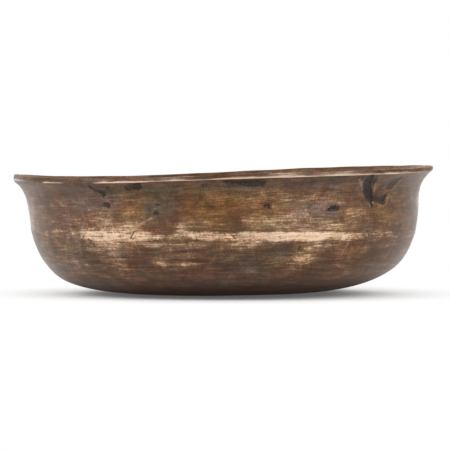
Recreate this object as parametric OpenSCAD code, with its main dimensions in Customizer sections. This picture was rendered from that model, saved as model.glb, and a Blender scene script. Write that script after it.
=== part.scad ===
// Singing bowl, beaten from one disc of bronze: a wide shallow dish with a soft crease
// half way up, a nearly upright wall above it and a thick lip that flares outward.
// Millimetres, +Z up. The bowl rests on z = 0 with the middle of its outline on the Z axis.

/* [Size] */
// Diameter across the outside of the lip
rim_d = 180; // [165:1:200]
// Height from the bottom of the dish to the top of the lip, along the bowl's own axis
bowl_h = 52.4; // [50:0.1:56]
// How far the bowl leans on its worn foot, degrees, with the +X side of the rim higher
lean_a = 1.2; // [0:0.1:2]
// How much of the dish's lowest metal is worn away to make the flat foot
foot_wear = 0.15; // [0.1:0.05:0.3]

/* [Dish] */
// Height of the crease where the dish meets the wall
crease_h = 22.5; // [20:0.1:26]
// How far the crease lies inside the lip's outer edge
crease_in = 8.9; // [7.5:0.1:10.5]
// How far out from the centre the bottom runs almost level
level_reach = 58.2; // [50:0.1:62]
// How strongly the dish turns up into the crease
turn_reach = 21; // [17:0.5:23]
// Slope of the dish just under the crease, degrees above level
dish_a = 69; // [66:0.5:72]

/* [Wall and flare] */
// Slope of the wall just over the crease, degrees above level
crease_a = 67; // [64:0.5:70]
// How quickly the wall straightens above the crease
crease_reach = 4.7; // [3:0.1:6]
// Height of the neck, where the wall is steepest
neck_h = 39.1; // [37:0.1:41]
// How far the neck lies inside the lip's outer edge
neck_in = 6; // [5.5:0.1:7]
// Slope of the neck, degrees above level
neck_a = 84.6; // [82:0.2:87]
// How far the neck keeps its slope downward
neck_down = 5.1; // [3:0.1:7]
// How far the neck keeps its slope upward
neck_up = 6.5; // [4:0.1:7]
// Slope of the flare where it reaches the lip, degrees above level
flare_a = 47.7; // [42:0.5:52]
// How far the flare keeps that slope before the lip
flare_reach = 3.9; // [2:0.1:5]

/* [Metal] */
// Thickness in the middle of the floor
floor_t = 2; // [1.8:0.1:2.6]
// Thickness of the dish at the crease and of the wall above it
wall_t = 1.6; // [1.3:0.1:2]
// Thickness of the lip, measured square to the flare
lip_t = 2.5; // [2:0.1:3]
// Radius of the lip's rounded edges
edge_r = 0.4; // [0.2:0.1:0.5]

/* [Finish] */
// Steps used to draw each of the section's curves
curve_steps = 14; // [10:1:24]
// Facets round the bowl in the mesh preview
round_facets = 240; // [120:12:360]

/* [Hidden] */

$fn = round_facets;
bronze = [0.47, 0.35, 0.25];
rim_r = rim_d / 2;
crease = [rim_r - crease_in, crease_h];
neck = [rim_r - neck_in, neck_h];
lip_face_h = lip_t * cos(flare_a);
lip_top_w = lip_t * sin(flare_a);
lip_low = [rim_r, bowl_h - lip_face_h];
lip_out = [rim_r, bowl_h];
lip_in = [rim_r - lip_top_w, bowl_h];
edge_steps = 4;
// The lean carries the rim sideways; this brings the outline back over the Z axis.
lean_shift = (lip_low.y + lip_out.y) / 2 * sin(lean_a);
trim_side = rim_d;
trim_depth = 20;

// Unit vector at an angle above level.
function along(a) = [cos(a), sin(a)];

// Unit vector in the direction of v.
function unit(v) = v / norm(v);

// The direction v turned a quarter turn to the left, which is into the metal and the bowl.
function left_of(v) = [-v.y, v.x];

// Point at t on the cubic curve with control points p.
function on_curve(p, t) =
    pow(1 - t, 3) * p[0] + 3 * pow(1 - t, 2) * t * p[1] + 3 * (1 - t) * t * t * p[2] + pow(t, 3) * p[3];

// Points of a curve, leaving out its start when it carries on from another one.
function curve(p, first) = [for (i = [first : curve_steps]) on_curve(p, i / curve_steps)];

// Thicknesses that change evenly from a to b, one for each point of a curve.
function blend(a, b, first) = [for (i = [first : curve_steps]) a + (b - a) * i / curve_steps];

// Rounded corner at b between the straight edges from a and to c.
function rounded(a, b, c, r) =
    let (
        u = unit(a - b),
        v = unit(c - b),
        half = acos(u * v) / 2,
        middle = b + unit(u + v) * r / sin(half),
        from = b + u * r / tan(half) - middle,
        to = b + v * r / tan(half) - middle,
        start = atan2(from.y, from.x),
        raw = atan2(to.y, to.x) - start,
        sweep = raw > 180 ? raw - 360 : (raw < -180 ? raw + 360 : raw)
    )
    [for (i = [0 : edge_steps]) middle + r * along(start + sweep * i / edge_steps)];

dish_curve = [[0, 0], [level_reach, 0], crease - turn_reach * along(dish_a), crease];
wall_curve = [crease, crease + crease_reach * along(crease_a), neck - neck_down * along(neck_a), neck];
flare_curve = [neck, neck + neck_up * along(neck_a), lip_low - flare_reach * along(flare_a), lip_low];

// The outside of the bowl from the centre of the floor to the lower edge of the lip.
outside = concat(curve(dish_curve, 0), curve(wall_curve, 1), curve(flare_curve, 1));
thickness = concat(blend(floor_t, wall_t, 0), blend(wall_t, wall_t, 1), blend(wall_t, lip_t, 1));
last = len(outside) - 1;

// Direction of the outside at point i; level at the centre, the flare's slope at the lip.
function heading(i) = i == 0 ? [1, 0] : (i == last ? along(flare_a) : unit(outside[i + 1] - outside[i - 1]));

// The inside follows the outside at the metal's thickness, from the lip back to the centre.
inside = [for (i = [last - 1 : -1 : 0]) outside[i] + thickness[i] * left_of(heading(i))];

// Half section of the whole bowl.
section = concat(
    [for (i = [0 : last - 1]) outside[i]],
    rounded(outside[last - 1], lip_low, lip_out, edge_r),
    rounded(lip_low, lip_out, lip_in, edge_r),
    rounded(lip_out, lip_in, inside[0], edge_r),
    inside
);

// The one piece of bronze, leaning a little on its level, worn foot.
module bowl() {
    color(bronze)
        translate([lean_shift, 0, -foot_wear])
            difference() {
                rotate([0, -lean_a, 0])
                    rotate_extrude()
                        polygon(section);
                translate([-trim_side / 2, -trim_side / 2, foot_wear - trim_depth])
                    cube([trim_side, trim_side, trim_depth]);
            }
}

bowl();
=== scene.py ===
import math

import bpy
import numpy as np
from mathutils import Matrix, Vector


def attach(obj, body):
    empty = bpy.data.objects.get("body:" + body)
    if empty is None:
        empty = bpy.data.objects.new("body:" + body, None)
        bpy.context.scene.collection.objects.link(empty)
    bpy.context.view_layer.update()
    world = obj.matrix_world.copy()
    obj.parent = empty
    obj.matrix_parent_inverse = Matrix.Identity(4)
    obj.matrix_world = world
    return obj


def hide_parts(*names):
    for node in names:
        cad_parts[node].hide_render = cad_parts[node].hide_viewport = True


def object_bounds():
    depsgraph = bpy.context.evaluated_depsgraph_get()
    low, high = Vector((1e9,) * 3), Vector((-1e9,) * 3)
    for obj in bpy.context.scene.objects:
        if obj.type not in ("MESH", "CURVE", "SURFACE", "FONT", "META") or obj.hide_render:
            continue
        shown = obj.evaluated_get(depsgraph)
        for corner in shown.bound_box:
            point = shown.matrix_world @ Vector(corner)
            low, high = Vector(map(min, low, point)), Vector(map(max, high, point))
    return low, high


# The singing bowl as it is seen: one bronze shell with its wear and marks, a pale floor and soft
# light. It replaces the smooth solid of the same size.
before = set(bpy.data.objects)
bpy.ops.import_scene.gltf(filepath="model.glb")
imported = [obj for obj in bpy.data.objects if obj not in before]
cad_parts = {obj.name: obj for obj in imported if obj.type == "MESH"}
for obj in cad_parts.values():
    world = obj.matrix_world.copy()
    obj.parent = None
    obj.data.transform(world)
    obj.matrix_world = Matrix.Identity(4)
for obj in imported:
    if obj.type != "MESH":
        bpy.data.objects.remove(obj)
cad_low, cad_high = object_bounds()

# ---------------------------------------------------------------- driving sizes
# Lengths are in millimetres and angles in degrees. Azimuth 0 faces the camera
# and azimuth 90 is the +X side. Rise is the height above the bottom of the dish
# along the bowl's own axis.
MM = 0.001
RIM_R = (cad_high.x - cad_low.x) / 2 / MM
BOWL_H = 52.4
CREASE_H, CREASE_IN = 22.5, 8.9
NECK_H, NECK_IN = 39.1, 6.0
LEVEL_REACH, TURN_REACH, DISH_A = 58.2, 21.0, 69.0
CREASE_A, CREASE_REACH = 67.0, 4.7
NECK_A, NECK_DOWN, NECK_UP = 84.6, 5.1, 6.5
FLARE_A, FLARE_REACH = 47.7, 3.9
LIP_T, FLOOR_T, WALL_T, EDGE_R = 2.5, 2.0, 1.6, 0.4
FOOT_WEAR = 0.15

# The mesh: steps along the dish, the wall and the flare, round each of the lip's edges, and round
# the bowl.
OUTSIDE_STEPS = (46, 28, 22)
INSIDE_STEPS = (30, 10, 9)
EDGE_STEPS = 3
AROUND = 640

# Radius of the wall, which turns azimuths into lengths round the bowl.
WALL_R = 84.5

# What hand work and wear made of the plain shape: the worn ring, the lean, the sideways strays of
# the neck and foot, the lip's deeper face toward -X, the dish's bulge and the lip's fine ripple.
RING_H, RING_TILT, RING_PROUD, RING_HALF = 27.1, 1.6, 0.22, 3.0
DISH_LEAN, WALL_LEAN = 0.6, 1.45
NECK_DRIFT, FOOT_DRIFT = -0.7, -1.2
LIP_DEEPER = 0.5
DISH_BULGE = 0.45
LIP_RIPPLE = 0.05
# The rim's height: times round the bowl, cosine and sine amounts.
RIM_WAVES = [(2, -0.66, -0.21), (3, 0.16, 0.42), (4, 0.18, 0.0)]
# Single rises and dips of the rim: azimuth, half width and height.
RIM_SWELLS = [(-130, 55, -0.26), (147, 22, 0.18)]
# Hammer blows: side, how many and how deep, and the smallest and largest reach of one blow.
HAMMER_BLOWS = [("out", 520, 0.05), ("in", 620, 0.09)]
HAMMER_REACH = (5.0, 9.0)
# Depth of the scrape marks, which are bump only.
SCRAPE_DEPTH = 0.3


# ---------------------------------------------------------------- camera
def make_camera():
    """A long lens far off, just over the rim, as a catalogue picture is taken."""
    distance, height, aim_h, aim_x = 1500.0, 65.0, 29.5, 0.5
    frame_w = 193.5
    data = bpy.data.cameras.new("camera")
    data.sensor_width = 36.0
    data.lens = data.sensor_width * distance / frame_w
    data.clip_start, data.clip_end = 0.05, 30.0
    camera = bpy.data.objects.new("camera", data)
    bpy.context.collection.objects.link(camera)
    camera.location = (aim_x * MM, -distance * MM, height * MM)
    down = math.atan((height - aim_h) / distance)
    camera.rotation_euler = (math.radians(90) - down, 0, 0)
    bpy.context.scene.camera = camera


# ---------------------------------------------------------------- section
def along(angle):
    return np.array([math.cos(math.radians(angle)), math.sin(math.radians(angle))])


def curve(points, steps, first=0):
    """Points of a cubic curve, without its start when it carries on from another one."""
    t = (np.arange(first, steps + 1) / steps)[:, None]
    a, b, c, d = points
    return (1 - t) ** 3 * a + 3 * (1 - t) ** 2 * t * b + 3 * (1 - t) * t * t * c + t ** 3 * d


def smooth(x, low, high):
    """0 below low, 1 above high and a soft step between."""
    t = np.clip((x - low) / (high - low), 0, 1)
    return t * t * (3 - 2 * t)


def bump(x, middle, half):
    """1 at the middle, falling softly to 0 at half either side."""
    t = np.clip(1 - ((x - middle) / half) ** 2, 0, 1)
    return t * t


def rounded(a, b, c):
    """The lip's edge at b, between straight faces from a and to c, as an arc."""
    u, v = (a - b) / np.linalg.norm(a - b), (c - b) / np.linalg.norm(c - b)
    half = math.acos(float(u @ v)) / 2
    bisector = (u + v) / np.linalg.norm(u + v)
    middle = b + bisector * EDGE_R / math.sin(half)
    start = b + u * EDGE_R / math.tan(half) - middle
    end = b + v * EDGE_R / math.tan(half) - middle
    first = math.atan2(start[1], start[0])
    sweep = (math.atan2(end[1], end[0]) - first + math.pi) % (2 * math.pi) - math.pi
    turns = first + sweep * np.arange(EDGE_STEPS + 1) / EDGE_STEPS
    return middle + EDGE_R * np.stack([np.cos(turns), np.sin(turns)], 1)


def make_section():
    """The half section as radius and rise, and how many of its points lie outside and on the lip."""
    crease = np.array([RIM_R - CREASE_IN, CREASE_H])
    neck = np.array([RIM_R - NECK_IN, NECK_H])
    lip_low = np.array([RIM_R, BOWL_H - LIP_T * math.cos(math.radians(FLARE_A))])
    lip_out = np.array([RIM_R, BOWL_H])
    lip_in = np.array([RIM_R - LIP_T * math.sin(math.radians(FLARE_A)), BOWL_H])
    dish = [np.zeros(2), np.array([LEVEL_REACH, 0.0]), crease - TURN_REACH * along(DISH_A), crease]
    wall = [crease, crease + CREASE_REACH * along(CREASE_A), neck - NECK_DOWN * along(NECK_A), neck]
    flare = [neck, neck + NECK_UP * along(NECK_A), lip_low - FLARE_REACH * along(FLARE_A), lip_low]

    def skin(dish_steps, wall_steps, flare_steps):
        line = np.vstack([
            curve(dish, dish_steps),
            curve(wall, wall_steps, 1),
            curve(flare, flare_steps, 1),
        ])
        thick = np.concatenate([
            np.linspace(FLOOR_T, WALL_T, dish_steps + 1),
            np.full(wall_steps, WALL_T),
            np.linspace(WALL_T, LIP_T, flare_steps + 1)[1:],
        ])
        heading = np.gradient(line, axis=0)
        heading[0], heading[-1] = (1, 0), along(FLARE_A)
        heading /= np.linalg.norm(heading, axis=1)[:, None]
        return line, line + thick[:, None] * np.stack([-heading[:, 1], heading[:, 0]], 1)

    outside = skin(*OUTSIDE_STEPS)[0]
    inside = skin(*INSIDE_STEPS)[1][-2::-1]
    lip = np.vstack([
        rounded(outside[-2], lip_low, lip_out),
        rounded(lip_low, lip_out, lip_in),
        rounded(lip_out, lip_in, inside[0]),
    ])
    return np.vstack([outside[:-1], lip, inside]), len(outside) - 1, len(lip)


# ---------------------------------------------------------------- marks in the metal
# Pits, cracks and stains, each one stroke: how deep it is, how dark it is, and its points as
# azimuth, rise and half width.
DARK_STROKES = [
    # the ragged recess under the lip, its hook and the marks beside it
    (0.60, 1.00, [(43.4, 48.0, 2.2), (43.9, 46.9, 2.3), (44.7, 44.6, 2.5), (45.6, 42.4, 2.3),
                  (46.8, 40.2, 1.5), (47.2, 38.4, 0.7), (47.3, 36.8, 0.2)]),
    (0.50, 0.95, [(48.3, 40.3, 1.0), (50.6, 39.8, 1.2), (52.0, 39.8, 1.7), (53.3, 41.3, 0.8),
                  (53.7, 42.9, 0.2)]),
    (0.10, 0.60, [(39.0, 49.6, 0.4), (40.8, 49.1, 0.7)]),
    (0.10, 0.70, [(49.2, 45.6, 0.3), (50.2, 45.3, 0.5), (51.0, 45.7, 0.3)]),
    (0.20, 0.80, [(45.8, 48.6, 1.0), (46.4, 47.4, 0.9)]),
    (0.15, 0.95, [(54.0, 45.7, 1.7), (55.4, 46.5, 2.0), (56.8, 47.8, 0.9), (57.8, 49.2, 0.4)]),
    # spots in the wall, and stains under the lip in front
    (0.35, 0.95, [(31.0, 37.0, 0.6), (32.5, 37.2, 1.15), (34.3, 37.1, 0.8)]),
    (0.30, 1.00, [(11.6, 39.3, 0.7), (12.6, 38.8, 0.9)]),
    (0.12, 0.85, [(0.6, 49.5, 0.4), (4.0, 48.9, 0.6), (7.6, 48.5, 1.1), (10.9, 48.4, 1.0)]),
    (0.10, 0.55, [(-5.3, 48.4, 0.4), (-3.9, 48.4, 0.4)]),
    # marks at the left under the lip, with the crack that ends in a blot
    (0.25, 1.00, [(-24.4, 48.5, 1.0), (-22.8, 48.7, 1.3)]),
    (0.15, 0.85, [(-26.3, 48.3, 0.8), (-25.0, 48.4, 1.0)]),
    (0.30, 0.90, [(-37.9, 49.2, 0.45), (-37.0, 48.1, 0.65), (-36.2, 47.1, 0.60), (-35.3, 46.7, 0.7)]),
    (0.35, 1.00, [(-35.0, 46.2, 1.0), (-34.2, 46.2, 0.8), (-34.8, 45.2, 0.8)]),
    (0.30, 0.95, [(-35.1, 41.2, 0.9), (-34.0, 40.8, 1.2)]),
    (0.05, 0.50, [(-31.8, 49.1, 0.4), (-32.5, 48.1, 0.6)]),
    # spots in the green blot
    (0.15, 0.65, [(-18.7, 40.9, 0.45), (-18.0, 40.7, 0.35)]),
    (0.10, 0.50, [(-21.4, 38.9, 0.3), (-20.9, 38.3, 0.4)]),
    (0.15, 0.85, [(-19.6, 37.8, 0.45), (-18.9, 37.3, 0.55)]),
    # under the ring
    (0.20, 0.60, [(22.6, 21.1, 0.8), (23.4, 21.1, 0.5)]),
    (0.10, 0.60, [(-42.6, 25.0, 0.8), (-41.0, 23.8, 0.6)]),
    # the side turned away
    (0.35, 0.90, [(118, 46.5, 0.4), (121, 44.0, 1.2), (122, 41.0, 0.8)]),
    (0.30, 0.90, [(163, 38.0, 0.9), (165, 37.6, 1.0)]),
    (0.15, 0.80, [(140, 48.0, 0.4), (146, 47.4, 0.8), (150, 47.6, 0.5)]),
    (0.30, 0.90, [(-112, 34.0, 0.8), (-109, 34.2, 1.2)]),
    (0.50, 1.00, [(-148, 49.2, 1.6), (-147, 45.5, 1.8), (-145, 42.0, 0.6)]),
    (0.20, 0.90, [(-172, 41.0, 0.7), (-171, 40.6, 0.6)]),
]
# Dark scratches across the ring.
FINE_STROKES = [
    [(-26.1, 29.4, 0.20), (-27.6, 26.5, 0.32)],
    [(-8.0, 27.5, 0.15), (-7.5, 25.4, 0.20)],
    [(2.2, 27.7, 0.18), (3.3, 25.9, 0.28)],
    [(151, 29.5, 0.12), (154, 26.0, 0.14)],
    [(-127, 25.5, 0.10), (-129, 21.0, 0.15)],
]
# Pale edges round the recess, which are painted highlights on its bevels, and single pale scratches.
PALE_STROKES = [
    [(39.6, 48.8, 0.50), (41.8, 46.2, 0.70), (43.2, 43.2, 0.35), (44.4, 41.4, 0.40), (46.0, 38.6, 0.40),
     (46.7, 36.8, 0.20)],
    [(46.9, 46.6, 0.25), (47.3, 44.8, 0.35), (48.0, 43.0, 0.25)],
    [(54.7, 42.3, 0.25), (54.6, 40.5, 0.40), (53.8, 38.6, 0.35)],
    [(37.6, 18.2, 0.35), (39.0, 23.2, 0.50)],
    [(-20.6, 35.1, 0.30), (-23.4, 33.1, 0.45), (-26.6, 30.3, 0.30)],
    [(13.9, 39.6, 0.25), (13.8, 38.2, 0.30)],
]


def signed(turn):
    """Azimuth in degrees from -180 to 180."""
    return (np.degrees(turn) + 180) % 360 - 180


def stroke_gap(turn, rise, points):
    """How far each place lies outside a stroke's edge, negative inside it."""
    across = np.radians(signed(turn)) * WALL_R
    gap = np.full(turn.shape, 99.0)
    for (azimuth_a, rise_a, half_a), (azimuth_b, rise_b, half_b) in zip(points, points[1:]):
        from_u, from_v = across - math.radians(azimuth_a) * WALL_R, rise - rise_a
        run_u, run_v = math.radians(azimuth_b - azimuth_a) * WALL_R, rise_b - rise_a
        t = np.clip((from_u * run_u + from_v * run_v) / (run_u ** 2 + run_v ** 2), 0, 1)
        off = np.hypot(from_u - t * run_u, from_v - t * run_v)
        gap = np.minimum(gap, off - half_a - t * (half_b - half_a))
    return gap


def dark_marks(turn, rise):
    """The gap to the nearest dark stroke, how dark it is and how deep the metal is pitted."""
    gap, dark, depth = np.full(turn.shape, 99.0), 0 * turn, 0 * turn
    for deep, darkness, points in DARK_STROKES:
        here = stroke_gap(turn, rise, points)
        dark = np.where(here < gap, darkness, dark)
        gap = np.minimum(gap, here)
        depth = np.maximum(depth, deep * smooth(here, 0.6, -0.6))
    return np.minimum(gap, 5.0), dark, depth


# ---------------------------------------------------------------- the bowl's shell
def waves(rng, count, low, high):
    """A repeatable soft waviness round the bowl, about -1 to 1."""
    turns = rng.integers(low, high, count)
    phase = rng.uniform(0, 2 * math.pi, count)
    return lambda azimuth: np.sin(azimuth[..., None] * turns + phase).sum(-1) / math.sqrt(count / 2)


def rim_warp(azimuth):
    """How far the beaten rim rises above or falls below a level circle."""
    height = 0 * azimuth
    for times, level, across in RIM_WAVES:
        height = height + level * np.cos(times * azimuth) + across * np.sin(times * azimuth)
    for middle, half, amount in RIM_SWELLS:
        height = height + amount * bump(signed(azimuth), middle, half)
    return height


def lean_at(rise):
    """The dish leans a little and the wall leans more, so the +X side of the rim is higher."""
    return np.radians(DISH_LEAN + (WALL_LEAN - DISH_LEAN) * smooth(rise, 22, 48))


def drift_at(rise):
    """How far the neck and the foot stray along X."""
    neck = smooth(rise, 33, 47) - smooth(rise, 49, 52)
    return NECK_DRIFT * neck + FOOT_DRIFT * smooth(rise, 14, 4)


def ring_rise(azimuth):
    """Rise of the worn ring's middle; the ring lies a little out of level."""
    return RING_H - RING_TILT * np.sin(azimuth)


def hammer_blows(rng, section, reach, azimuth, n_out, n_lip):
    """Shallow round dents, planished almost smooth outside and plainer inside."""
    rows = np.arange(1, len(section) - 1)
    push = np.zeros((len(rows), len(azimuth)))
    ring_r = section[:, 0]
    for side, count, depth in HAMMER_BLOWS:
        mine = rows < n_out if side == "out" else rows >= n_out + n_lip
        blow_ring = rng.choice(rows[mine], count, p=ring_r[rows[mine]] / ring_r[rows[mine]].sum())
        blow_turn = rng.uniform(0, 2 * math.pi, count)
        blow_size = rng.uniform(*HAMMER_REACH, count)
        blow_depth = depth * rng.uniform(0.4, 1.3, count)
        for ring, where, size, deep in zip(blow_ring, blow_turn, blow_size, blow_depth):
            near = rows[(np.abs(reach[rows] - reach[ring]) < size) & mine]
            gap = (azimuth - where + math.pi) % (2 * math.pi) - math.pi
            flat = gap[None, :] * ring_r[near][:, None]
            off = np.hypot(flat, (reach[near] - reach[ring])[:, None]) / size
            push[near - 1] -= deep * np.clip(1 - off ** 2, 0, None) ** 2
    return push


def shell_faces(rings):
    """Quads between the rings, with a fan to the single point at each pole."""
    def at(ring, step):
        return 1 + ring * AROUND + step % AROUND

    top = 1 + rings * AROUND
    faces = [(0, at(0, i + 1), at(0, i)) for i in range(AROUND)]
    for ring in range(rings - 1):
        for i in range(AROUND):
            faces.append((at(ring, i), at(ring, i + 1), at(ring + 1, i + 1), at(ring + 1, i)))
    faces += [(at(rings - 1, i), at(rings - 1, i + 1), top) for i in range(AROUND)]
    return faces


def make_bowl():
    rng = np.random.default_rng(7)
    section, n_out, n_lip = make_section()
    rings = len(section) - 2
    step = np.linalg.norm(np.diff(section, axis=0), axis=1)
    reach = np.concatenate([[0], np.cumsum(step)])
    azimuth = np.arange(AROUND) * 2 * math.pi / AROUND
    # The first and last points of the section lie on the axis and are single vertices.
    radius = section[1:-1, 0][:, None] + 0 * azimuth
    rise = section[1:-1, 1][:, None] + 0 * azimuth
    turn = azimuth[None, :] + 0 * radius
    lip_row = n_out + n_lip / 2
    inside = smooth(np.arange(1, rings + 1), lip_row - 2, lip_row + 2)[:, None]
    outer = 1 - inside

    heading = np.gradient(section, axis=0)[1:-1]
    heading /= np.linalg.norm(heading, axis=1)[:, None]
    out_r, out_z = heading[:, 1][:, None], -heading[:, 0][:, None]

    push = hammer_blows(rng, section, reach, azimuth, n_out, n_lip)
    ring_level = np.interp(signed(turn), RING_AZIMUTHS, RING_LEVELS)
    push += RING_PROUD * (0.35 + 0.65 * ring_level) * bump(rise, ring_rise(turn), RING_HALF) * outer
    pit_gap, pit_dark, pit_depth = dark_marks(turn, rise)
    push -= pit_depth * outer
    push += LIP_RIPPLE * waves(rng, 10, 5, 26)(azimuth) * smooth(rise, BOWL_H - 4.5, BOWL_H - 1.5)
    radius = radius + push * out_r
    lifted = rise + push * out_z + rim_warp(turn) * smooth(rise, 22, BOWL_H - 3)
    # The lip's face is deeper toward -X.
    face = smooth(rise, 46.5, 50.4) * smooth(rise, 52.0, 51.0) * outer
    lifted -= LIP_DEEPER * np.clip(-np.sin(turn), 0, 1) ** 2 * face
    # The dish bulges a little downward toward +X.
    x, y = radius * np.sin(turn), -radius * np.cos(turn)
    lifted -= DISH_BULGE * bump(x, 40, 30) * bump(y, -5, 45) * smooth(rise, 16, 7)

    lean = lean_at(rise)
    xs = x * np.cos(lean) + drift_at(rise)
    zs = np.maximum(x * np.sin(lean) + lifted - FOOT_WEAR, 0.0)
    grid = np.stack([xs, y, zs], -1).reshape(-1, 3)
    points = np.vstack([[0, 0, 0], grid, [0, 0, FLOOR_T - FOOT_WEAR]]) * MM

    mesh = bpy.data.meshes.new("bowl_shell")
    mesh.from_pydata(points.tolist(), [], shell_faces(rings))
    mesh.update()
    mesh.polygons.foreach_set("use_smooth", np.ones(len(mesh.polygons), dtype=bool))
    shell = bpy.data.objects.new("bowl_shell", mesh)
    bpy.context.collection.objects.link(shell)

    def store(name, field, first, end):
        values = np.concatenate([[first], np.broadcast_to(field, turn.shape).ravel(), [end]])
        layer = mesh.attributes.new(name, "FLOAT", "POINT")
        layer.data.foreach_set("value", values.astype(np.float32))

    reach_here = reach[1:-1][:, None]
    lower_edge, upper_edge = reach[n_out + 1], reach[n_out + EDGE_STEPS + 2]
    line_level = np.interp(signed(turn), LINE_AZIMUTHS, LINE_LEVELS)
    top_level = np.interp(signed(turn), TOP_AZIMUTHS, TOP_LEVELS)
    arris = bump(reach_here, lower_edge, 0.44) * line_level + bump(reach_here, upper_edge, 0.4) * top_level
    store("along", reach_here, 0, reach[-1])
    store("rise", rise, 0, FLOOR_T)
    store("inside", inside, 0, 1)
    store("arris", arris, 0, 0)
    store("pit_gap", pit_gap, 5, 5)
    store("pit_dark", pit_dark * outer, 0, 0)
    store("wear_and_shading", paint_wear_and_shading(turn, rise, inside, rng), 0.0, 0.3)
    store("ring", paint_ring(turn, rise, inside), 0, 0)
    store("gilt", painted(turn, rise, GILT_PATCHES) * outer, 0, 0)
    store("rust", painted(turn, rise, RUST_PATCHES) * outer, 0, 0)
    store("green", paint_green(turn, rise, inside, rng), 0, 0.2)
    store("grime", painted(turn, rise, GRIME_PATCHES) * outer, 0, 0)
    return shell


# ---------------------------------------------------------------- patina painted on the shell, with some painted shade and highlights
def patch(turn, rise, azimuth, height, half_w, half_h):
    """A soft oval patch on the outside, 1 in its middle and fading to 0."""
    gap = (turn - math.radians(azimuth) + math.pi) % (2 * math.pi) - math.pi
    off = (gap * WALL_R / half_w) ** 2 + ((rise - height) / half_h) ** 2
    return np.exp(-1.2 * off)


def painted(turn, rise, patches):
    field = 0 * turn
    for azimuth, height, half_w, half_h, amount in patches:
        field = field + amount * patch(turn, rise, azimuth, height, half_w, half_h)
    return field
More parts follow.
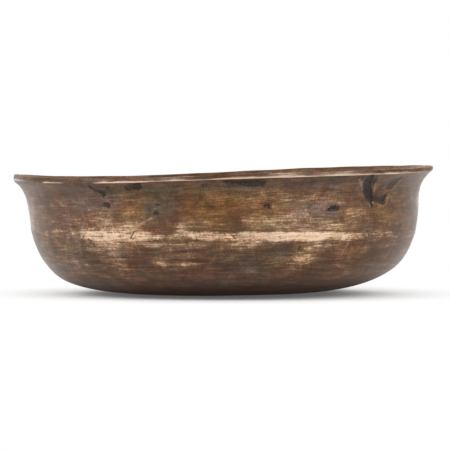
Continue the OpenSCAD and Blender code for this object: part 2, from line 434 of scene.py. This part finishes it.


# Each patch: azimuth, rise, half width, half height and amount. They lie on the side that faces
# the camera; scatter() covers the side turned away.
# More bare metal shows where it is scraped, less where it is dull; some patches are painted shade or
# painted highlight.
WEAR_AND_SHADING_PATCHES = [
    # round the broad bright left end of the ring, partly a painted highlight
    (-33, 28.4, 20, 5.0, 0.15),
    (-24.5, 25.4, 7, 2.6, 0.16),
    (-35.5, 24.0, 16, 2.1, 0.34),
    (-30, 37.5, 3, 2.5, -0.12),
    (-28, 31.2, 9, 3.0, 0.38),
    (-44, 28.6, 4, 3.0, 0.26),
    (-57.5, 26.5, 5, 3.0, 0.14),
    (-18.6, 27.5, 3, 1.6, -0.18),
    (55, 27.2, 7, 2.2, 0.14),
    (-33.5, 25.0, 4, 2.0, -0.20),
    (-70, 34.0, 6, 7.0, -0.10),
    (-34, 19.5, 6, 3.5, 0.26),
    (-32, 16.8, 5, 3.5, 0.24),
    (-45.8, 21.5, 2.5, 3.5, -0.25),
    (-39.5, 23.0, 4.5, 3.0, 0.12),
    (-24, 20.8, 9, 2.0, -0.24),
    (-25.5, 17.6, 5, 3.5, -0.18),
    # the wall and the rest of the ring
    (-9.5, 28.8, 3, 4.0, 0.20),
    (6.5, 33.0, 4, 4.0, 0.22),
    (10, 37.0, 4, 3.0, 0.14),
    (19, 43.0, 5, 3.0, 0.16),
    (-16.5, 29.5, 4, 3.0, -0.34),
    (-5, 31.5, 5, 3.0, 0.14),
    (33, 29.8, 7, 2.0, 0.32),
    (25.7, 28.4, 4, 2.0, 0.16),
    (26.4, 24.4, 4, 1.6, 0.16),
    (9.4, 23.4, 4, 1.6, 0.18),
    (19, 29.4, 5, 2.0, 0.14),
    (42, 30.0, 6, 3.0, 0.14),
    (-12.2, 31.0, 2.6, 2.4, 0.36),
    (-4, 33.0, 12, 3.0, 0.10),
    (14, 33.0, 14, 4.5, 0.20),
    (24, 34.0, 11, 5.0, 0.20),
    (12, 44.5, 7, 2.0, 0.18),
    (27, 42.4, 11, 3.2, 0.24),
    (40, 34.7, 8, 3.5, 0.36),
    (30, 31.4, 8, 3.0, 0.08),
    (52, 34.3, 8, 4.0, 0.04),
    (51, 49.0, 6, 2.0, -0.14),
    (18, 37.0, 5, 3.0, -0.12),
    (10, 29.2, 5, 2.0, 0.14),
    (62, 22.0, 8, 6.0, -0.08),
    (92, 27.0, 14, 5.0, 0.10),
    (-26, 39.5, 9, 6.5, 0.16),
    (-39, 35.4, 9, 3.0, 0.12),
    (-58, 30.3, 9, 5.0, 0.14),
    (-52, 42.3, 12, 6.0, 0.05),
    (-17.8, 33.0, 5.5, 3.6, -0.26),
    (-13.6, 40.0, 3.6, 7.0, -0.22),
    (3.4, 34.0, 2.8, 5.0, -0.34),
    (4, 43.5, 12, 4.0, 0.22),
    (66, 33.2, 14, 12.0, -0.14),
    (75, 41.0, 4, 8.0, -0.60),
    # under the ring
    (-51, 16.0, 12, 8.0, 0.17),
    (-34, 13.0, 6, 3.0, 0.08),
    (43, 17.0, 9, 6.0, 0.14),
    (5.5, 22.4, 8, 3.0, 0.42),
    (-13, 23.1, 20, 1.8, 0.32),
    (31, 22.2, 8, 2.0, 0.34),
    (24, 18.0, 6, 5.5, 0.42),
    (22, 13.7, 4, 2.5, 0.16),
    (27.5, 16.5, 5, 3.0, 0.22),
    (33, 21.3, 7, 2.5, 0.06),
    (-39.5, 13.8, 5, 2.0, 0.22),
    (-13, 12.3, 4, 2.0, -0.14),
    (20.5, 9.5, 6, 2.5, -0.10),
    (16, 15.5, 6, 1.6, 0.22),
    (45, 10.8, 7, 1.8, 0.32),
    (41, 8.6, 7, 1.4, 0.20),
    (54, 13.8, 6, 2.5, 0.10),
    (-19.4, 16.0, 5, 2.6, 0.68),
    (-11, 15.7, 4.5, 2.6, 0.46),
    (-4, 15.3, 5, 1.2, 0.16),
    (-48, 16.0, 14, 6.0, 0.15),
    (-54, 20.0, 8, 4.0, 0.12),
    (-66, 24.2, 8, 5.0, 0.10),
    (4, 17.5, 18, 3.6, -0.14),
    (6, 14.0, 12, 3.5, -0.10),
    (36, 17.4, 7, 1.8, -0.20),
    (20, 21.5, 7, 1.5, -0.15),
    (12, 22.4, 4, 1.4, 0.14),
    (-30, 11.4, 14, 1.6, -0.10),
    (-21, 23.8, 5, 2.2, 0.26),
    (21, 7.0, 16, 3.5, -0.14),
    (-62, 13.5, 8, 4.0, 0.12),
    (66, 20.0, 9, 4.0, -0.10),
    # the lip's face; the deep dip at its -X end is painted shade
    (-30, 52.0, 24, 2.2, -0.26),
    (0, 52.0, 14, 2.2, -0.14),
    (3, 52.0, 6, 2.0, -0.32),
    (-85, 52.2, 36, 2.2, -1.00),
    (72, 52.2, 16, 2.2, 0.25),
    # the green blot, with its scraped middle
    (-19.5, 39.5, 6, 5.0, -0.22),
    (-19.2, 39.3, 1.6, 1.6, 0.35),
]
# Golden patches, and mauve grey ones where the amount is negative.
GILT_PATCHES = [
    (-25, 39.5, 9, 6, 0.22),
    (-1, 38.0, 14, 8, 0.80),
    (12, 40.5, 9, 5, 0.20),
    (38, 35.4, 8, 4, 0.25),
    (57, 38.0, 10, 8, 0.95),
    (24, 18.5, 8, 6, 0.15),
    (-20, 17.5, 6, 3, 0.20),
    (60, 14.3, 14, 8, 0.25),
    (42, 17.0, 10, 7, 0.40),
    (-24, 19.0, 5, 4, -0.30),
    (-48, 16.0, 14, 8, -0.30),
    (31, 36.8, 7, 4, -0.35),
    (20, 37.5, 7, 4, -0.25),
    (-42, 42.4, 16, 6, -0.60),
    (-64, 40.2, 12, 10, -0.10),
    (-13.5, 39.5, 4, 7, -0.20),
    (28, 27.4, 16, 3, 0.10),
    (-33, 27.4, 16, 5, -0.05),
    (16, 47.5, 20, 3, -0.20),
    (-10.6, 37.0, 4, 4, 0.20),
    (7.5, 32.5, 5, 4, 0.25),
    (49, 34.0, 6, 4, 0.20),
    (62, 37.4, 5, 6, 0.45),
    (-9, 21.0, 8, 3, -0.30),
    (-10, 10.0, 9, 3.5, -0.30),
    (7, 13.6, 6, 4, -0.30),
    (-25, 13.5, 5, 3, -0.20),
    (26, 37.5, 8, 5, -0.30),
    (-46, 43.0, 5, 3, 0.30),
    (-22, 42.0, 3, 8, 0.30),
    (-15, 44.0, 4, 3, 0.20),
    (22.5, 47.0, 5, 2, 0.35),
    (-44, 13.0, 9, 3, 0.25),
    (29, 10.5, 8, 3, 0.30),
    (47, 14.0, 7, 4, 0.30),
    (-60, 22.0, 6, 4, 0.20),
    (-2, 48.0, 6, 2, -0.30),
    (30, 47.5, 6, 2, -0.25),
    # the lip's face
    (-25, 52.2, 34, 1.8, -0.45),
    (30, 52.2, 34, 1.8, -0.55),
]
# Redder patches, and olive ones where the amount is negative.
RUST_PATCHES = [
    (-48, 36.3, 12, 5, 0.16),
    (-39, 34.4, 9, 3, 0.25),
    (-13, 36.5, 5, 5, 0.30),
    (26, 42.5, 9, 3, 0.10),
    (14, 43.5, 6, 2, 0.20),
    (10, 10.5, 24, 4, 0.30),
    (-14, 9.5, 18, 3, 0.30),
    (36, 17.4, 7, 2, 0.40),
    (-33, 13.4, 12, 3, 0.20),
    (50, 43.3, 6, 3, 0.20),
    (-2.7, 43.5, 4, 3, 0.30),
    (-14, 13.5, 3, 3, 0.40),
    (40, 21.5, 4, 2, 0.40),
    (-42, 39.0, 7, 3, -0.30),
    (-13.6, 46.0, 5, 3, -0.30),
    (13, 32.0, 7, 4, -0.30),
    (4, 45.5, 12, 3, -0.30),
    (16, 20.0, 9, 3, -0.45),
    (-19, 39.0, 6, 4, -0.50),
    (22, 40.0, 6, 3, -0.30),
    (62, 36.2, 10, 8, -0.15),
    (-22, 46.5, 14, 2.4, -0.45),
    (-45, 47.5, 8, 2, -0.40),
    (-5, 47.5, 8, 2, -0.40),
    (-4, 6.5, 10, 2, -0.40),
    (-22, 11.0, 8, 3, -0.25),
    (12.3, 12.2, 5, 3, -0.80),
    (20, 9.8, 5, 3, 0.30),
    (-30, 6.0, 10, 2.5, 0.60),
    (45, 5.4, 10, 2.5, 0.90),
    (-28, 42.0, 8, 5, 0.10),
    (-3.5, 11.0, 4, 3, 0.35),
    (-50, 14.0, 7, 3, 0.20),
    (42, 22.5, 5, 3, 0.25),
    (19, 31.0, 5, 3, -0.20),
    (45, 29.0, 6, 3, -0.25),
    (8, 17.0, 5, 3, -0.30),
    (-11, 43.0, 8, 3, 0.30),
    (17, 33.0, 5, 3, -0.20),
    (4, 39.5, 6, 3, 0.25),
    (-24.6, 17.5, 5, 3, 0.30),
    (-7.5, 12.0, 5, 3, 0.30),
    (29, 48.5, 5, 2, -0.40),
    (31, 39.0, 4, 2, -0.25),
]
# Dull olive verdigris.
GREEN_PATCHES = [
    (-19.5, 39.3, 5.6, 4.6, 1.00),
    (-19.2, 39.3, 1.5, 1.5, -0.55),
    (-14.5, 41.5, 3.5, 5.0, 0.55),
    (16, 20.0, 8, 2.6, 0.75),
    (5, 12.5, 9, 3.0, 0.50),
    (6, 46.8, 14, 1.5, 0.70),
    (-16, 47.2, 12, 1.6, 0.70),
    (-46, 44.4, 10, 4, 0.30),
    (24, 46.4, 12, 2.0, 0.60),
    (21, 39.0, 5, 1.6, 0.40),
    (-12, 11.5, 14, 4, 0.20),
    (52, 46.3, 8, 3, 0.35),
    (34.5, 35.8, 3, 1.2, 0.55),
]

# Grime that takes the shine off the metal.
GRIME_PATCHES = [
    (-90, 51.6, 34, 3.2, 1.10),
    (75.5, 39.0, 3.5, 8.0, 0.90),
]

# How strongly the pale ring at the crease is worn, by azimuth; its paleness is partly a painted highlight.
RING_AZIMUTHS = [
    -180, -166, -150, -134, -118, -100, -80, -62, -50, -42, -30, -21, -16, -8, 2,
    8, 13, 20, 28, 34, 39, 46, 60, 75, 90, 104, 120, 138, 158, 180,
]
RING_LEVELS = [
    0.66, 0.38, 0.82, 0.52, 0.74, 0.48, 0.42, 0.27, 0.44, 0.50, 0.60, 0.86, 0.56, 0.60, 0.78,
    1.02, 1.00, 0.96, 1.00, 0.94, 0.72, 0.50, 0.42, 0.42, 0.45, 0.68, 0.46, 0.80, 0.42, 0.66,
]

# How bright the pale line on the lip's lower edge is, by azimuth: rubbed metal with a painted highlight.
LINE_AZIMUTHS = [
    -180, -140, -100, -58, -56, -49, -46, -37, -34, -23, -18, -12,
    -5, -2, 20, 33, 45, 50, 62, 74, 85, 120, 150, 180,
]
LINE_LEVELS = [
    0.8, 0.5, 0.1, 0.0, 0.90, 0.80, 0.35, 0.3, 0.70, 0.85, 0.55, 0.72,
    0.66, 0.85, 0.9, 0.8, 0.6, 0.75, 0.65, 0.5, 0.1, 0.9, 0.5, 0.8,
]

# The same for the lip's upper edge, which is dull over most of its length.
TOP_AZIMUTHS = [-180, -60, -19, -15, -6, -2, 9, 14, 20, 24, 34, 44, 60, 110, 130, 150, 180]
TOP_LEVELS = [0.0, 0.0, 0.1, 0.42, 0.56, 0.1, 0.1, 0.50, 0.58, 0.40, 0.38, 0.20, 0.0, 0.0, 0.5, 0.4, 0.0]

# How much bare metal shows at each height: brushed wall, and lower levels toward the foot and in the band
# under the lip, which are painted shade.
WEAR_AND_SHADING_HEIGHTS = [0, 5, 12, 20, 25, 29, 34, 42, 46, 48.5, 51, 53]
WEAR_AND_SHADING_LEVELS = [-0.16, 0.07, 0.30, 0.36, 0.40, 0.44, 0.48, 0.44, 0.36, 0.25, 0.26, 0.34]


def scatter(turn, rise, rng, count, amount):
    """Seeded patches round azimuth 180, so that the side turned away is as uneven as the front."""
    field = 0 * turn
    for _ in range(count):
        azimuth, height = rng.uniform(78, 282), rng.uniform(8, 48)
        half_w, half_h = rng.uniform(3, 15), rng.uniform(1.5, 5)
        field = field + rng.uniform(-amount, amount) * patch(turn, rise, azimuth, height, half_w, half_h)
    return field


def paint_wear_and_shading(turn, rise, inside, rng):
    wear_and_shading = np.interp(rise, WEAR_AND_SHADING_HEIGHTS, WEAR_AND_SHADING_LEVELS) + painted(turn, rise, WEAR_AND_SHADING_PATCHES)
    wear_and_shading = wear_and_shading + scatter(turn, rise, rng, 46, 0.34)
    inner = 0.34 + 0.10 * smooth(rise, 30, 50) + scatter(turn + math.pi, rise, rng, 30, 0.15)
    return wear_and_shading * (1 - inside) + inner * inside


def paint_ring(turn, rise, inside):
    """The crease: a pale band, rubbed metal and partly a painted highlight, sharper at its upper edge and
    broad near its left end.
    """
    level = np.interp(signed(turn), RING_AZIMUTHS, RING_LEVELS)
    above = rise - ring_rise(turn)
    broad = bump(signed(turn), -37, 15)
    upper = smooth(above, 3.0 + 2.0 * broad, 0.5)
    lower = smooth(above, -3.6 - 3.2 * broad, -0.6 - 1.2 * broad)
    return level * upper * lower * (1 - inside)


def paint_green(turn, rise, inside, rng):
    green = painted(turn, rise, GREEN_PATCHES) + np.clip(scatter(turn, rise, rng, 20, 0.9), 0, None)
    return green * (1 - inside) + 0.12 * inside


# ---------------------------------------------------------------- material
class Nodes:
    """Short ways to build one material."""

    def __init__(self, name):
        self.material = bpy.data.materials.new(name)
        self.material.use_nodes = True
        self.tree = self.material.node_tree
        self.tree.nodes.clear()

    def put(self, value, socket):
        if isinstance(value, bpy.types.NodeSocket):
            self.tree.links.new(value, socket)
        elif value is not None:
            socket.default_value = value

    def new(self, kind, **settings):
        node = self.tree.nodes.new(kind)
        for name, value in settings.items():
            setattr(node, name, value)
        return node

    def math(self, operation, a, b=None, c=None, clamp=False):
        node = self.new("ShaderNodeMath", operation=operation, use_clamp=clamp)
        for value, socket in zip((a, b, c), node.inputs):
            self.put(value, socket)
        return node.outputs[0]

    def vector(self, operation, a, b=None, output="Vector"):
        node = self.new("ShaderNodeVectorMath", operation=operation)
        self.put(a, node.inputs[0])
        self.put(b, node.inputs["Scale"] if operation == "SCALE" else node.inputs[1])
        return node.outputs[output]

    def add(self, a, b):
        return self.math("ADD", a, b)

    def less(self, a, b):
        return self.math("SUBTRACT", a, b)

    def times(self, a, b):
        return self.math("MULTIPLY", a, b)

    def most(self, values):
        total = values[0]
        for value in values[1:]:
            total = self.math("MAXIMUM", total, value)
        return total

    def total(self, start, *pairs):
        """start plus each pattern times its amount."""
        value = start
        for pattern, amount in pairs:
            value = self.math("MULTIPLY_ADD", pattern, amount, value)
        return value

    def span(self, value, low, high, start=0.0, end=1.0):
        """Runs softly from start to end as value goes from low to high."""
        node = self.new("ShaderNodeMapRange", interpolation_type="SMOOTHSTEP")
        for item, socket in zip((value, low, high, start, end), node.inputs):
            self.put(item, socket)
        return node.outputs[0]

    def attribute(self, name):
        return self.new("ShaderNodeAttribute", attribute_name=name).outputs["Fac"]

    def combine(self, x, y, z):
        node = self.new("ShaderNodeCombineXYZ")
        for value, socket in zip((x, y, z), node.inputs):
            self.put(value, socket)
        return node.outputs[0]

    def noise(self, where, size, detail=3.0, roughness=0.55, distortion=0.0, output="Fac"):
        """Noise about -0.5 to 0.5 with features of this size."""
        node = self.new("ShaderNodeTexNoise")
        self.put(where, node.inputs["Vector"])
        node.inputs["Scale"].default_value = 1 / size
        node.inputs["Detail"].default_value = detail
        node.inputs["Roughness"].default_value = roughness
        node.inputs["Distortion"].default_value = distortion
        if output == "Color":
            return self.vector("SUBTRACT", node.outputs["Color"], (0.5, 0.5, 0.5))
        return self.less(node.outputs["Fac"], 0.5)

    def blend(self, amount, a, b, kind="MIX"):
        node = self.new("ShaderNodeMix", data_type="RGBA", blend_type=kind)
        self.put(amount, node.inputs[0])
        self.put(a, node.inputs[6])
        self.put(b, node.inputs[7])
        return node.outputs[2]

    def ramp(self, value, stops):
        node = self.new("ShaderNodeValToRGB")
        self.put(value, node.inputs[0])
        elements = node.color_ramp.elements
        while len(elements) < len(stops):
            elements.new(0.5)
        for element, (place, colour) in zip(elements, stops):
            element.position = place
            element.color = colour
        return node.outputs[0]

    def stroke(self, place, points, soft_edge):
        """1 on a stroke through points of azimuth, rise and half width, 0 off it."""
        masks = []
        for (azimuth_a, rise_a, half_a), (azimuth_b, rise_b, half_b) in zip(points, points[1:]):
            start = Vector((math.radians(azimuth_a) * WALL_R, rise_a, 0))
            run = Vector((math.radians(azimuth_b) * WALL_R, rise_b, 0)) - start
            from_start = self.vector("SUBTRACT", place, start)
            t = self.vector("DOT_PRODUCT", from_start, run / run.length_squared, "Value")
            t = self.math("MULTIPLY", t, 1.0, clamp=True)
            nearest = self.new("ShaderNodeVectorMath", operation="SCALE")
            nearest.inputs[0].default_value = run
            self.put(t, nearest.inputs["Scale"])
            off = self.vector("DISTANCE", from_start, nearest.outputs[0], "Value")
            beyond = self.less(off, self.math("MULTIPLY_ADD", t, half_b - half_a, half_a))
            masks.append(self.span(beyond, soft_edge, -soft_edge))
        return self.most(masks)


def paint(red, green, blue):
    """A display colour, 0 to 255, as the linear colour that a shader takes."""
    def linear(value):
        value /= 255
        return value / 12.92 if value <= 0.04045 else ((value + 0.055) / 1.055) ** 2.4
    return (linear(red), linear(green), linear(blue), 1.0)


def bronze_material():
    n = Nodes("old_bronze")
    split = n.new("ShaderNodeSeparateXYZ")
    n.put(n.new("ShaderNodeTexCoord").outputs["Object"], split.inputs[0])
    x, y, z = [n.times(split.outputs[i], 1 / MM) for i in range(3)]
    point = n.combine(x, y, z)
    reach = n.attribute("along")
    rise = n.attribute("rise")
    outside = n.less(1.0, n.attribute("inside"))
    turn = n.math("ARCTAN2", x, n.times(y, -1.0))

    def strokes(length, width, detail, roughness=0.6):
        """Level scrape marks: noise drawn out along X and Y."""
        place = n.combine(n.times(x, 1 / length), n.times(y, 1 / length), n.times(reach, 1 / width))
        return n.noise(place, 1.0, detail, roughness)

    def elsewhere(shift, size, detail):
        return n.noise(n.combine(n.add(x, shift), y, z), size, detail, 0.6)

    hair = strokes(6.0, 0.42, 2.0)
    fine = strokes(10.0, 0.9, 3.0)
    broad = strokes(16.0, 3.0, 4.0)
    streak = strokes(24.0, 2.4, 3.0)
    blotch = n.noise(point, 6.0, 6.0, 0.65, 0.6)
    cloud = n.noise(point, 19.0, 3.0, 0.5)
    grain = n.noise(point, 0.8, 2.0, 0.6)
    hue = elsewhere(300.0, 11.0, 4.0)
    tint = elsewhere(600.0, 3.0, 3.0)
    rust = elsewhere(900.0, 7.0, 4.0)

    # how much bare metal shows
    low = n.span(rise, 25.0, 19.0)
    marks = [(hair, 0.44), (fine, 0.48), (broad, 0.40), (blotch, 0.68), (cloud, 0.3), (grain, 0.4)]
    scraped = n.times(n.total(0.0, *marks), n.total(1.0, (low, 0.35)))
    scraped = n.total(scraped, (n.times(streak, low), 0.9))
    ring_marks = [(hair, 0.25), (fine, 0.30), (broad, 0.30), (blotch, 0.38), (grain, 0.2)]
    # the ring's paleness is partly rubbed metal and partly a painted highlight
    ring_worn_and_lit = n.total(n.attribute("ring"), *ring_marks)
    # the painted wear field also holds painted shade toward the foot, under the lip and on the lip's face
    # at -X, and painted highlight at the ring's left end
    wear_and_shading = n.total(n.attribute("wear_and_shading"), (scraped, 1.0), (n.span(ring_worn_and_lit, 0.12, 1.05), 0.64))
    bare = n.span(wear_and_shading, 0.05, 1.15)

    # brown patina, darker in its hollows
    hollows = [(blotch, 0.8), (broad, 0.5), (streak, 0.4), (fine, 0.4), (hair, 0.2), (grain, 0.35)]
    shade = n.total(0.48, *hollows)
    patina = n.ramp(shade, [
        (0.05, paint(45, 32, 25)),
        (0.5, paint(92, 70, 54)),
        (0.95, paint(147, 116, 90)),
    ])

    # scraped metal, from brown gold to pale pink
    gloss = n.total(n.span(wear_and_shading, 0.3, 1.3), (hair, 0.5), (fine, 0.4), (cloud, 0.3), (grain, 0.25))
    metal_colour = n.ramp(gloss, [
        (0.0, paint(116, 88, 66)),
        (0.35, paint(152, 122, 96)),
        (0.7, paint(206, 174, 146)),
        (1.0, paint(236, 208, 180)),
    ])
    colour = n.blend(bare, patina, metal_colour)

    # old handling and cleaning left it golden, mauve, red or olive by place
    gilt = n.total(n.add(n.attribute("gilt"), 0.49), (hue, 1.2), (tint, 0.9))
    hue_strength = n.span(bare, 0.5, 1.0, 1.0, 0.45)
    colour = n.blend(hue_strength, colour, n.ramp(gilt, [
        (0.0, (1.02, 1.12, 1.50, 1)),
        (0.4, (1.0, 0.97, 0.92, 1)),
        (1.0, (1.06, 0.90, 0.56, 1)),
    ]), "MULTIPLY")
    rusty = n.total(n.add(n.attribute("rust"), 0.56), (rust, 1.4), (streak, 0.6), (tint, 0.6))
    colour = n.blend(hue_strength, colour, n.ramp(rusty, [
        (0.0, (0.90, 1.03, 0.94, 1)),
        (0.5, (1.0, 1.0, 1.0, 1)),
        (1.0, (1.08, 0.87, 0.88, 1)),
    ]), "MULTIPLY")

    green_level = n.total(n.attribute("green"), (blotch, 1.1), (fine, 0.5), (grain, 0.5))
    green_amount = n.span(green_level, 0.2, 0.75, 0.0, 0.85)
    verdigris = n.ramp(shade, [
        (0.05, paint(50, 42, 34)),
        (0.5, paint(94, 80, 66)),
        (0.95, paint(145, 127, 105)),
    ])
    colour = n.blend(green_amount, colour, verdigris)

    # single marks, their edges made uneven by noise
    flat = n.combine(n.times(turn, WALL_R), rise, 0.0)
    slightly = n.vector("ADD", flat, n.vector("SCALE", n.noise(flat, 1.6, 2.0, 0.6, output="Color"), 0.7))
    pit_gap = n.total(n.attribute("pit_gap"), (tint, 1.6), (grain, 2.0))
    pits = n.times(n.span(pit_gap, 0.50, -0.20), n.attribute("pit_dark"))
    pits = n.times(pits, n.total(0.98, (blotch, 1.0), (tint, 1.2)))
    scratches = n.times(n.most([n.stroke(slightly, points, 0.1) for points in FINE_STROKES]), outside)
    pale = n.times(n.most([n.stroke(slightly, points, 0.25) for points in PALE_STROKES]), outside)
    pale_amount = n.times(pale, n.total(0.38, (grain, 1.0), (tint, 1.2)))
    # pale scratches, and painted highlights along the recess's edges
    colour = n.blend(pale_amount, colour, paint(174, 152, 130))
    pit_shade = n.total(shade, (tint, 1.3), (grain, 0.9))
    pit_colour = n.ramp(pit_shade, [(0.1, paint(12, 8, 7)), (0.9, paint(66, 53, 45))])
    colour = n.blend(pits, colour, pit_colour)
    colour = n.blend(n.times(scratches, 0.9), colour, paint(50, 36, 28))

    # the lip's edges are pale in broken lengths: rubbed metal and a painted highlight along them
    rubbed_and_lit = n.total(n.attribute("arris"), (cloud, 0.6), (broad, 0.6), (hair, 0.4))
    edge_wear_and_highlight = n.times(n.span(rubbed_and_lit, 0.25, 0.8), n.span(n.attribute("arris"), 0.02, 0.2))
    colour = n.blend(n.times(edge_wear_and_highlight, 0.9), colour, paint(238, 208, 182))

    # painted shade: the colour is darker toward the foot, where the dish faces the shadowed floor
    foot_shade = n.span(rise, 9.0, 0.5)
    colour = n.blend(n.times(foot_shade, 0.9), colour, (0.36, 0.25, 0.20, 1), "MULTIPLY")

    # bare metal shines most, then the brown patina; grime takes the shine away
    dull = n.most([green_amount, pits, foot_shade])
    bright = n.math("MAXIMUM", n.times(bare, n.less(1.0, dull)), edge_wear_and_highlight)
    shader = n.new("ShaderNodeBsdfPrincipled")
    n.put(colour, shader.inputs["Base Color"])
    grime = n.attribute("grime")
    n.put(n.total(n.span(bright, 0.0, 1.0, 0.94, 1.0), (grime, -0.9)), shader.inputs["Metallic"])
    n.put(n.total(n.span(bright, 0.0, 1.0, 0.52, 0.38), (grime, 0.4)), shader.inputs["Roughness"])
    shader.inputs["Specular Tint"].default_value = (0.80, 0.72, 0.66, 1)
    # a thin film of wax and handling on the wall and dish, almost none on the foot and the lip's face
    waxed = n.times(n.span(rise, 2.0, 13.0, 0.0, 0.8), n.span(rise, 51.4, 50.6, 0.08, 1.0))
    n.put(waxed, shader.inputs["Coat Weight"])
    shader.inputs["Coat Roughness"].default_value = 0.32
    shader.inputs["Coat IOR"].default_value = 1.25

    height = n.total(0.0, (hair, 0.5), (fine, 0.3), (grain, 0.3), (pits, -0.6))
    bumped = n.new("ShaderNodeBump")
    bumped.inputs["Strength"].default_value = 0.3
    bumped.inputs["Distance"].default_value = SCRAPE_DEPTH * MM
    n.put(height, bumped.inputs["Height"])
    n.put(bumped.outputs[0], shader.inputs["Normal"])
    out = n.new("ShaderNodeOutputMaterial")
    n.put(shader.outputs[0], out.inputs[0])
    return n.material


# ---------------------------------------------------------------- studio
# Each light: name, azimuth, elevation, distance, width and height in metres, and power in watts.
SOFT_BOXES = [
    ("left_box", -62, 24, 1.6, (0.5, 0.9), 9.0),
    ("right_box", 50, 24, 1.6, (0.4, 0.9), 7.0),
    ("left_back_box", -152, 12, 1.8, (0.8, 0.9), 10.0),
    ("right_back_box", 162, 12, 1.8, (0.6, 0.9), 2.5),
]


def soft_box(name, azimuth, elevation, distance, size, power):
    """A rectangular light that faces the bowl."""
    light = bpy.data.lights.new(name, "AREA")
    light.shape = "RECTANGLE"
    light.size, light.size_y = size
    light.energy = power
    lamp = bpy.data.objects.new(name, light)
    bpy.context.collection.objects.link(lamp)
    a, e = math.radians(azimuth), math.radians(elevation)
    back = Vector((math.sin(a) * math.cos(e), -math.cos(a) * math.cos(e), math.sin(e)))
    lamp.location = back * distance
    lamp.rotation_mode = "QUATERNION"
    lamp.rotation_quaternion = back.to_track_quat("Z", "Y")


def make_floor():
    """A pale floor that brightens into the white surroundings with distance."""
    half = 8.0
    mesh = bpy.data.meshes.new("floor")
    corners = [(-half, -half, 0), (half, -half, 0), (half, half, 0), (-half, half, 0)]
    mesh.from_pydata(corners, [], [(0, 1, 2, 3)])
    floor = bpy.data.objects.new("floor", mesh)
    bpy.context.collection.objects.link(floor)
    n = Nodes("pale_floor")
    distance = n.vector("LENGTH", n.new("ShaderNodeTexCoord").outputs["Object"], output="Value")
    soft = n.new("ShaderNodeBsdfDiffuse")
    soft.inputs["Color"].default_value = (0.9, 0.9, 0.9, 1)
    glow = n.new("ShaderNodeEmission")
    glow.inputs["Color"].default_value = (1, 1, 1, 1)
    glow.inputs["Strength"].default_value = 1.0
    mixed = n.new("ShaderNodeMixShader")
    n.put(n.span(distance, 0.05, 0.12, 0.1, 1.0), mixed.inputs[0])
    n.put(soft.outputs[0], mixed.inputs[1])
    n.put(glow.outputs[0], mixed.inputs[2])
    out = n.new("ShaderNodeOutputMaterial")
    n.put(mixed.outputs[0], out.inputs[0])
    mesh.materials.append(n.material)


def make_light():
    for box in SOFT_BOXES:
        soft_box(*box)
    world = bpy.data.worlds.new("studio")
    bpy.context.scene.world = world
    world.use_nodes = True
    background = world.node_tree.nodes["Background"]
    background.inputs["Color"].default_value = (1, 1, 1, 1)
    background.inputs["Strength"].default_value = 1.0


make_camera()
bowl = make_bowl()
bowl.data.materials.append(bronze_material())
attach(bowl, "root")
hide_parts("bowl")
make_floor()
make_light()
bpy.context.scene.view_settings.view_transform = "Standard"
